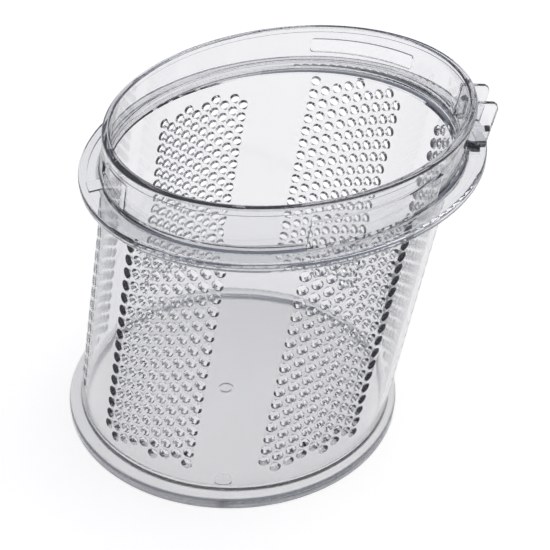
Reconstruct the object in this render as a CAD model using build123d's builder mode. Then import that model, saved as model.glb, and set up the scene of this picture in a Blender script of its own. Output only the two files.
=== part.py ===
from build123d import *
import os
from math import radians, degrees, sin, cos, tan, atan

os.makedirs("parts", exist_ok=True)

# ---- driving dimensions, millimetres and degrees ----
# The origin is the centre of the foot's underside, +Z up, +X the way the tube leans.
LEAN = 9.01            # tube axis from the vertical, towards +X
FOOT_R = 50.0
FOOT_T = 3.3
FOOT_EDGE = 1.4        # round on the foot's upper edge
FOOT_ROOT = 1.0        # round where the tube stands on the foot
TUBE_R = 46.3          # outside of the tube, square to its own axis
WALL = 1.5
FLOOR_T = 2.4
FLOOR_FILLET = 2.5
FLANGE_R = 54.77
FLANGE_T = 1.9
SKIRT_R = 52.4         # inside of the thicker outer edge under the flange
SKIRT_T = 2.4
FLANGE_EDGE = 0.7
FLANGE_Z = 85.92       # flange upper face on the Z axis line x = 0
FLANGE_TILT = 4.93     # rises towards +X
COLLAR_R = 48.85
COLLAR_BORE = 47.1
LIP_R = 49.25          # thin band round the mouth
LIP_H = 2.0
ROOT_ROUND = 1.8       # round where the collar stands on the flange
STEP_H = 1.75          # height of the sloped step from the collar down into the tube
STEP_R = 46.9          # its upper radius
RIM_Z = 97.85
RIM_TILT = 5.83
RIM_EDGE = 0.7
HOLE_R_OUT = 1.6       # hole radius at the outer face
HOLE_R_IN = 1.25       # hole radius at the bore
HOLE_TOP_SLOPE = 0.172  # the highest hole centres rise with x
HOLE_FLANGE_GAP = 1.65  # hole centre to the flange underside
FIN_T = 2.0
FIN_ROUND = 1.6
FIN_EDGE = 0.6         # round along the fins' free edges
POCKET_FROM = 43.0     # long shallow pocket outside the collar, angles round the flange
POCKET_TO = 83.0
POCKET_LOW = 4.2
POCKET_HIGH = 8.5
POCKET_DEPTH = 0.9
POCKET_ROUND = 0.9

# Six bands of holes: first column angle, column step, columns, height of the first hole along the axis,
# rise from column to column, pitch along a column, lowest hole centre, highest hole centre at x = 0.
BANDS = [
    (-138.35, 4.295, 9, 69.54, 1.93, 4.165, 9.6, 80.0),
    (-78.00, 4.36, 9, 79.71, 1.977, 4.267, 11.0, 80.0),
    (137.00, -3.655, 10, 71.10, 2.265, 4.27, 16.0, 80.85),
    (78.46, -4.23, 9, 86.15, 2.02, 4.36, 16.0, 80.0),
    (19.2, -4.25, 9, 88.60, 2.125, 4.25, 10.45, 80.0),
    (-163.0, -4.25, 9, 68.90, 2.125, 4.25, 10.45, 80.0),
]
# The second band closes up towards its top right: how far, and from what height on.
CLOSE_UP = 2.6
CLOSE_FROM = 53.0
CLOSE_TO = 87.0
# Holes left off the top and the foot of single columns: (band, column): (top, foot).
SHORT = {
    (0, 4): (0, 1),
    (0, 7): (0, 1),
    (1, 4): (0, 1),
    (1, 7): (0, 1),
    (2, 1): (1, 0),
    (2, 7): (1, 0),
    (2, 9): (1, 0),
}

# ---- the shared directions and planes ----
t = radians(LEAN)
AXIS = Vector(sin(t), 0, cos(t))
RADIAL_X = Vector(cos(t), 0, -sin(t))
RADIAL_Y = Vector(0, 1, 0)
SHIFT = tan(t)         # sideways run of the axis for each millimetre of height


def tilted_plane(z0, tilt):
    """A plane rising towards +X, with its origin where the tube axis meets it."""
    g = tan(radians(tilt))
    z = z0 / (1 - g * SHIFT)
    c, s = cos(radians(tilt)), sin(radians(tilt))
    return Plane(origin=(SHIFT * z, 0, z), x_dir=(c, 0, s), z_dir=(-s, 0, c))


TUBE = Plane(origin=(0, 0, 0), x_dir=RADIAL_X, z_dir=AXIS)
FLANGE_TOP = tilted_plane(FLANGE_Z, FLANGE_TILT)
FLANGE_LOW = FLANGE_TOP.offset(-FLANGE_T)
RIM = tilted_plane(RIM_Z, RIM_TILT)
LIP_LOW = tilted_plane(RIM_Z - LIP_H, RIM_TILT)


def above_flange(d):
    """A plane parallel to the flange, d along the tube axis above its upper face."""
    return Plane(origin=FLANGE_TOP.origin + AXIS * d, x_dir=FLANGE_TOP.x_dir, z_dir=FLANGE_TOP.z_dir)


def side_plane(y):
    """Upright plane at a given y, local x along +X and local y along +Z, facing -Y."""
    return Plane(origin=(0, y, 0), x_dir=(1, 0, 0), z_dir=(0, -1, 0))


def sector(r_in, r_out, a0, a1):
    """Corner points of a ring sector, as four arcs' worth of control points."""
    am = (a0 + a1) / 2

    def at(r, d):
        return (r * cos(radians(d)), r * sin(radians(d)))

    return at(r_out, a0), at(r_out, am), at(r_out, a1), at(r_in, a1), at(r_in, am), at(r_in, a0)


# ---- foot disc ----
with BuildPart() as foot_blank:
    Cylinder(FOOT_R, FOOT_T, align=(Align.CENTER, Align.CENTER, Align.MIN))
    fillet(foot_blank.edges().sort_by(Axis.Z)[-1], FOOT_EDGE)

# ---- solid tube between the ground plane and the flange ----
with BuildPart() as tube_blank:
    with BuildSketch(TUBE.offset(-14)):
        Circle(TUBE_R)
    extrude(amount=125)
    split(bisect_by=Plane.XY.offset(0.4), keep=Keep.TOP)
    split(bisect_by=FLANGE_TOP.offset(-0.5), keep=Keep.BOTTOM)

# ---- flange disc ----
with BuildPart() as flange_blank:
    with BuildSketch(FLANGE_LOW):
        Circle(FLANGE_R)
    extrude(amount=FLANGE_T)
    with BuildSketch(FLANGE_TOP.offset(-SKIRT_T)):
        Circle(FLANGE_R)
        Circle(SKIRT_R, mode=Mode.SUBTRACT)
    extrude(amount=SKIRT_T - FLANGE_T / 2)
    outer = [
        e for e in flange_blank.edges().filter_by(GeomType.CIRCLE) if abs(e.radius - FLANGE_R) < 1e-3
    ]
    fillet(outer, FLANGE_EDGE)

# ---- collar: a ring drawn on the flange and swept along the tube axis, cut off by the rim plane ----
with BuildPart() as collar_blank:
    with BuildSketch(above_flange(-0.6)):
        Circle(COLLAR_R)
        Circle(COLLAR_BORE, mode=Mode.SUBTRACT)
    extrude(amount=30, dir=AXIS)
    split(bisect_by=RIM.offset(-0.3), keep=Keep.BOTTOM)

# ---- lip band round the mouth ----
with BuildPart() as lip_blank:
    with BuildSketch(FLANGE_TOP):
        Circle(LIP_R)
        Circle(COLLAR_BORE, mode=Mode.SUBTRACT)
    extrude(amount=30, dir=AXIS)
    split(bisect_by=RIM, keep=Keep.BOTTOM)
    split(bisect_by=LIP_LOW, keep=Keep.TOP)
    fillet(lip_blank.faces().sort_by(Axis.Z)[-1].edges(), RIM_EDGE)

# ---- bore cutter with a rounded floor corner ----
with BuildPart() as bore_blank:
    with BuildSketch(TUBE.offset(-14)):
        Circle(TUBE_R - WALL)
    extrude(amount=150)
    split(bisect_by=Plane.XY.offset(FLOOR_T), keep=Keep.TOP)
    fillet(bore_blank.faces().sort_by(Axis.Z)[0].edges(), FLOOR_FILLET)

# ---- cutter for the sloped step between collar and tube ----
STEP_STRETCH = 1 / cos(radians(LEAN + FLANGE_TILT))   # the bore's section is an ellipse in the flange plane
with BuildPart() as step_blank:
    with BuildSketch(above_flange(-STEP_H)):
        Ellipse((TUBE_R - WALL - 0.1) * STEP_STRETCH, TUBE_R - WALL - 0.1)
    with BuildSketch(above_flange(0.02)):
        Circle(STEP_R)
    loft()

# ---- flange, collar and lip joined, with the round at the collar's root ----
with BuildPart() as mouth_blank:
    add(flange_blank.part)
    add(collar_blank.part)
    add(lip_blank.part)
    root = []
    for e in mouth_blank.edges():
        places = [FLANGE_TOP.to_local_coords(e @ u) for u in (0.0, 0.3, 0.7)]
        if all(
            abs(v.Z) < 1e-3 and abs((v.X**2 + v.Y**2) ** 0.5 - COLLAR_R) < 1e-2
            for v in places
        ):
            root.append(e)
    fillet(root, ROOT_ROUND)

# ---- foot and tube joined, with the round at the tube's root ----
with BuildPart() as base_blank:
    add(foot_blank.part)
    add(tube_blank.part)
    root = [
        e
        for e in base_blank.edges()
        if all(
            abs((e @ u).Z - FOOT_T) < 1e-3
            and (e @ u).X ** 2 + (e @ u).Y ** 2 < (FOOT_R - FOOT_EDGE - 0.5) ** 2
            for u in (0.0, 0.3, 0.7)
        )
    ]
    fillet(root, FOOT_ROOT)

# ---- the plain vessel: base and mouth joined and bored, with the sloped step ----
with BuildPart() as vessel_blank:
    add(base_blank.part)
    add(mouth_blank.part)
    add(bore_blank.part, mode=Mode.SUBTRACT)
    add(step_blank.part, mode=Mode.SUBTRACT)

# ---- clip fins: upright plates out from the collar, free edges rounded ----
fins = []
for y_mid, x_root, x_top, z_top in ((-0.7, 61.8, 70.7, 102.7), (10.7, 60.6, 69.5, 101.8)):
    with BuildPart() as fin_blank:
        with BuildSketch(side_plane(y_mid + FIN_T / 2)) as fin:
            with BuildLine():
                Polyline(
                    (x_root - 0.3, 90.2),
                    (x_top - 0.2 * (z_top - 90.6), 90.6),
                    (x_top, z_top),
                    (x_root + SHIFT * (z_top - 90.2), z_top),
                    close=True,
                )
            make_face()
            fillet(fin.vertices().sort_by(Axis.X)[-1], FIN_ROUND)
        extrude(amount=FIN_T)
        free = [
            e
            for e in fin_blank.edges()
            if abs((e @ 0).Y - (e @ 1).Y) < 1e-4
            and ((e @ 0.5).Z > z_top - 0.1 or (e @ 0.5).X > x_root + 2.9 and (e @ 0.5).Z > 92)
        ]
        fillet(free, FIN_EDGE)
    fins.append(fin_blank.part)

# ---- cutter for the long shallow pocket on the collar, with rounded corners ----
p = sector(COLLAR_R - POCKET_DEPTH, COLLAR_R + 1.5, POCKET_FROM, POCKET_TO)
with BuildPart() as pocket_blank:
    with BuildSketch(above_flange(POCKET_LOW)):
        with BuildLine():
            ThreePointArc(p[0], p[1], p[2])
            Line(p[2], p[3])
            ThreePointArc(p[3], p[4], p[5])
            Line(p[5], p[0])
        make_face()
    extrude(amount=POCKET_HIGH - POCKET_LOW, dir=AXIS)
    corners = [
        e
        for e in pocket_blank.edges().filter_by(GeomType.LINE)
        if abs((e @ 1 - e @ 0).dot(AXIS)) < 0.9 * e.length
    ]
    fillet(corners, POCKET_ROUND)

# ---- places of the holes ----
FLANGE_G = tan(radians(FLANGE_TILT))
hole_places = []
for band, (first, step, columns, s_first, rise, pitch, z_low, z_high) in enumerate(BANDS):
    for i in range(columns):
        phi = radians(first + step * i)
        out = RADIAL_X * cos(phi) + RADIAL_Y * sin(phi)
        s = s_first + rise * i
        while s < 100:
            s += pitch
        column = []
        while s > 4:
            s -= pitch
            at = s
            if band == 1 and s > CLOSE_FROM:
                at = s - CLOSE_UP * i / (columns - 1) * ((s - CLOSE_FROM) / (CLOSE_TO - CLOSE_FROM)) ** 2
            mid = AXIS * at + out * (TUBE_R - WALL / 2)
            top = min(
                z_high + HOLE_TOP_SLOPE * mid.X,
                FLANGE_Z - FLANGE_T + FLANGE_G * mid.X - HOLE_FLANGE_GAP,
            )
            if z_low <= mid.Z <= top:
                start = AXIS * at + out * (TUBE_R - WALL - 0.8)
                column.append(Plane(origin=start, x_dir=AXIS, z_dir=out).location)
        off_top, off_foot = SHORT.get((band, i), (0, 0))
        hole_places += column[off_top : len(column) - off_foot]
HOLE_TAPER = (HOLE_R_OUT - HOLE_R_IN) / WALL

# ---- the moulding ----
with BuildPart() as filter_body:
    add(vessel_blank.part)
    for plate in fins:
        add(plate)
    # blocks beside the fins
    for a0, a1, r in ((-5.35, -1.9, 54.2), (13.8, 16.9, 53.4)):
        p = sector(COLLAR_R - 0.9, r, a0, a1)
        with BuildSketch(above_flange(-0.6)):
            with BuildLine():
                ThreePointArc(p[0], p[1], p[2])
                Line(p[2], p[3])
                ThreePointArc(p[3], p[4], p[5])
                Line(p[5], p[0])
            make_face()
        extrude(amount=5.4, dir=AXIS)
    # raised pads on the collar
    for a0, a1, r, h in ((-80.6, -37.0, 49.95, 8.0), (-158.0, -142.0, 49.1, 8.5)):
        p = sector(COLLAR_R - 0.9, r, a0, a1)
        with BuildSketch(above_flange(-0.6)):
            with BuildLine():
                ThreePointArc(p[0], p[1], p[2])
                Line(p[2], p[3])
                ThreePointArc(p[3], p[4], p[5])
                Line(p[5], p[0])
            make_face()
        extrude(amount=h + 0.6, dir=AXIS)
    # low stop block on the flange, on the far side from the clip
    p = sector(COLLAR_R - 0.9, 52.8, -164.0, -158.5)
    with BuildSketch(above_flange(-0.6)):
        with BuildLine():
            ThreePointArc(p[0], p[1], p[2])
            Line(p[2], p[3])
            ThreePointArc(p[3], p[4], p[5])
            Line(p[5], p[0])
        make_face()
    extrude(amount=1.1, dir=AXIS)
    # shallow long pocket on the outside of the collar
    add(pocket_blank.part, mode=Mode.SUBTRACT)
    # narrow window through the collar
    p = sector(COLLAR_BORE - 1.5, COLLAR_R + 1.0, -163.3, -158.3)
    with BuildSketch(above_flange(3.0)):
        with BuildLine():
            ThreePointArc(p[0], p[1], p[2])
            Line(p[2], p[3])
            ThreePointArc(p[3], p[4], p[5])
            Line(p[5], p[0])
        make_face()
    extrude(amount=3.5, dir=AXIS, mode=Mode.SUBTRACT)
    # small slot through the flange beside the clip
    p = sector(49.6, 52.9, -8.0, -5.3)
    with BuildSketch(FLANGE_TOP.offset(1)):
        with BuildLine():
            ThreePointArc(p[0], p[1], p[2])
            Line(p[2], p[3])
            ThreePointArc(p[3], p[4], p[5])
            Line(p[5], p[0])
        make_face()
    extrude(amount=-5, mode=Mode.SUBTRACT)
    # ring mark in the middle of the floor
    with BuildSketch(Plane.XY.offset(FLOOR_T - 0.5)):
        with Locations((-2.0, -1.6)):
            Circle(2.3)
            Circle(1.7, mode=Mode.SUBTRACT)
    extrude(amount=1, mode=Mode.SUBTRACT)
    # low round pip on the floor against the front wall
    with BuildSketch(Plane.XY.offset(FLOOR_T - 0.2)):
        with Locations((0.3, -41.2)):
            Circle(2.4)
    extrude(amount=1.0)
    # the holes, each wider at the outer face
    with Locations(*hole_places):
        Cone(
            HOLE_R_IN - 0.8 * HOLE_TAPER,
            HOLE_R_OUT + 0.8 * HOLE_TAPER,
            WALL + 1.6,
            align=(Align.CENTER, Align.CENTER, Align.MIN),
            mode=Mode.SUBTRACT,
        )

filter_body.part.label = "filter_body"
export_step(filter_body.part, "parts/filter_body.step", write_pcurves=False)
print(len(hole_places), filter_body.part.is_valid, len(filter_body.part.solids()), filter_body.part.volume, filter_body.part.bounding_box())
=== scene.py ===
import math

import bpy
from mathutils import Matrix, Vector

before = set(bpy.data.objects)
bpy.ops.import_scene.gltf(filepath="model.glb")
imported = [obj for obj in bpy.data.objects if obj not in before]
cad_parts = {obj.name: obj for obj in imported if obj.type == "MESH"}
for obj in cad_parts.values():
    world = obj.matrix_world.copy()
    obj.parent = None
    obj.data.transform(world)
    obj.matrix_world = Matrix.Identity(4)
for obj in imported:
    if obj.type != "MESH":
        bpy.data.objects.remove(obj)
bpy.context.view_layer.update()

scene = bpy.context.scene

# ---------------------------------------------------------------- helpers


def node(tree, kind, at=(0, 0), **settings):
    n = tree.nodes.new(kind)
    n.location = at
    for key, value in settings.items():
        setattr(n, key, value)
    return n


# ---------------------------------------------------------------- clear moulded plastic
def clear_plastic():
    m = bpy.data.materials.new("clear_plastic")
    m.use_nodes = True
    t = m.node_tree
    t.nodes.clear()
    out = node(t, "ShaderNodeOutputMaterial", (900, 0))
    bsdf = node(t, "ShaderNodeBsdfPrincipled", (560, 0))
    t.links.new(bsdf.outputs["BSDF"], out.inputs["Surface"])
    bsdf.inputs["IOR"].default_value = 1.52
    bsdf.inputs["Transmission Weight"].default_value = 0.96
    bsdf.inputs["Base Color"].default_value = (0.935, 0.936, 0.945, 1.0)

    coords = node(t, "ShaderNodeTexCoord", (-900, 0))
    # slow flow waves left by the moulding, and a fine haze of handling marks
    wave = node(t, "ShaderNodeTexNoise", (-600, -150))
    wave.inputs["Scale"].default_value = 38.0
    wave.inputs["Detail"].default_value = 2.0
    t.links.new(coords.outputs["Object"], wave.inputs["Vector"])
    bump = node(t, "ShaderNodeBump", (-120, -220))
    bump.inputs["Strength"].default_value = 0.06
    bump.inputs["Distance"].default_value = 0.0006
    t.links.new(wave.outputs["Fac"], bump.inputs["Height"])
    t.links.new(bump.outputs["Normal"], bsdf.inputs["Normal"])

    haze = node(t, "ShaderNodeTexNoise", (-600, 150))
    haze.inputs["Scale"].default_value = 420.0
    haze.inputs["Detail"].default_value = 4.0
    t.links.new(coords.outputs["Object"], haze.inputs["Vector"])
    rough = node(t, "ShaderNodeMapRange", (-320, 150))
    rough.inputs["From Min"].default_value = 0.45
    rough.inputs["From Max"].default_value = 0.8
    rough.inputs["To Min"].default_value = 0.015
    rough.inputs["To Max"].default_value = 0.06
    t.links.new(haze.outputs["Fac"], rough.inputs["Value"])
    # the underside of the foot is matt where it stands
    split = node(t, "ShaderNodeSeparateXYZ", (-600, 420))
    t.links.new(coords.outputs["Object"], split.inputs["Vector"])
    under = node(t, "ShaderNodeMapRange", (-320, 420))
    under.inputs["From Min"].default_value = 0.0002
    under.inputs["From Max"].default_value = 0.0010
    under.inputs["To Min"].default_value = 0.18
    under.inputs["To Max"].default_value = 0.0
    t.links.new(split.outputs["Z"], under.inputs["Value"])
    matt = node(t, "ShaderNodeMath", (-120, 280), operation="ADD")
    t.links.new(rough.outputs["Result"], matt.inputs[0])
    t.links.new(under.outputs["Result"], matt.inputs[1])
    t.links.new(matt.outputs["Value"], bsdf.inputs["Roughness"])

    # the plastic itself is faintly grey-blue, so long ways through an edge come out darker
    body_tint = node(t, "ShaderNodeVolumeAbsorption", (560, -420))
    body_tint.inputs["Color"].default_value = (0.40, 0.41, 0.45, 1.0)
    body_tint.inputs["Density"].default_value = 48.0
    t.links.new(body_tint.outputs["Volume"], out.inputs["Volume"])
    return m


plastic = clear_plastic()
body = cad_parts["filter_body"]
body.data.materials.clear()
body.data.materials.append(plastic)

# ---------------------------------------------------------------- floor
floor_mesh = bpy.data.meshes.new("floor")
h = 3.0
floor_mesh.from_pydata([(-h, -h, 0), (h, -h, 0), (h, h, 0), (-h, h, 0)], [], [(0, 1, 2, 3)])
floor = bpy.data.objects.new("floor", floor_mesh)
floor.location.z = -0.0002
scene.collection.objects.link(floor)
fm = bpy.data.materials.new("floor_white")
fm.use_nodes = True
fb = fm.node_tree.nodes["Principled BSDF"]
fb.inputs["Base Color"].default_value = (0.73, 0.71, 0.67, 1)
fb.inputs["Roughness"].default_value = 0.9
fb.inputs["Specular IOR Level"].default_value = 0.0
fb.inputs["Emission Color"].default_value = (1.0, 1.0, 1.0, 1)
fb.inputs["Emission Strength"].default_value = 0.73
floor_mesh.materials.append(fm)

# ---------------------------------------------------------------- light


def softbox(name, at, aim, size, watts, colour=(1, 1, 1)):
    d = bpy.data.lights.new(name, "AREA")
    d.shape = "RECTANGLE"
    d.size, d.size_y = size
    d.energy = watts
    d.color = colour
    o = bpy.data.objects.new(name, d)
    scene.collection.objects.link(o)
    o.location = at
    o.rotation_mode = "QUATERNION"
    o.rotation_quaternion = (Vector(aim) - Vector(at)).to_track_quat("-Z", "Y")
    return o


softbox("top_box", (0.45, 0.2, 1.4), (0, 0, 0), (1.3, 1.3), 7)
softbox("left_box", (-1.1, -0.2, 0.7), (0, 0, 0.05), (0.5, 0.9), 0.8)

world = bpy.data.worlds.new("studio")
scene.world = world
world.use_nodes = True
wt = world.node_tree
bg = wt.nodes["Background"]
bg.inputs["Strength"].default_value = 0.52
# the room is pale near the floor and dims to blue-grey overhead
where = node(wt, "ShaderNodeTexCoord", (-900, 0))
split = node(wt, "ShaderNodeSeparateXYZ", (-700, 0))
wt.links.new(where.outputs["Generated"], split.inputs["Vector"])
shade = node(wt, "ShaderNodeValToRGB", (-500, 0))
shade.color_ramp.elements[0].position = 0.0
shade.color_ramp.elements[0].color = (0.95, 0.96, 1.0, 1)
shade.color_ramp.elements[1].position = 0.35
shade.color_ramp.elements[1].color = (0.34, 0.37, 0.46, 1)
wt.links.new(split.outputs["Z"], shade.inputs["Fac"])
wt.links.new(shade.outputs["Color"], bg.inputs["Color"])

# ---------------------------------------------------------------- camera
eye = Vector((0.024861, -0.296062, 0.261886))
f = Vector((-0.033311, 0.805280, -0.591958)).normalized()
r0 = Vector((math.cos(0.0414), math.sin(0.0414), 0))
r0 = (r0 - f * r0.dot(f)).normalized()
u0 = r0.cross(f)
roll = 0.00915
r = r0 * math.cos(roll) + u0 * math.sin(roll)
u = r.cross(f)
cam_data = bpy.data.cameras.new("camera")
cam_data.sensor_fit = "HORIZONTAL"
cam_data.sensor_width = 36.0
cam_data.lens = 36.0 * 1274.10 / 550.0
cam_data.clip_start, cam_data.clip_end = 0.01, 30
cam = bpy.data.objects.new("camera", cam_data)
scene.collection.objects.link(cam)
cam.matrix_world = Matrix((
    (r.x, u.x, -f.x, eye.x),
    (r.y, u.y, -f.y, eye.y),
    (r.z, u.z, -f.z, eye.z),
    (0, 0, 0, 1),
))
scene.camera = cam

scene.view_settings.view_transform = "Standard"
scene.view_settings.look = "None"
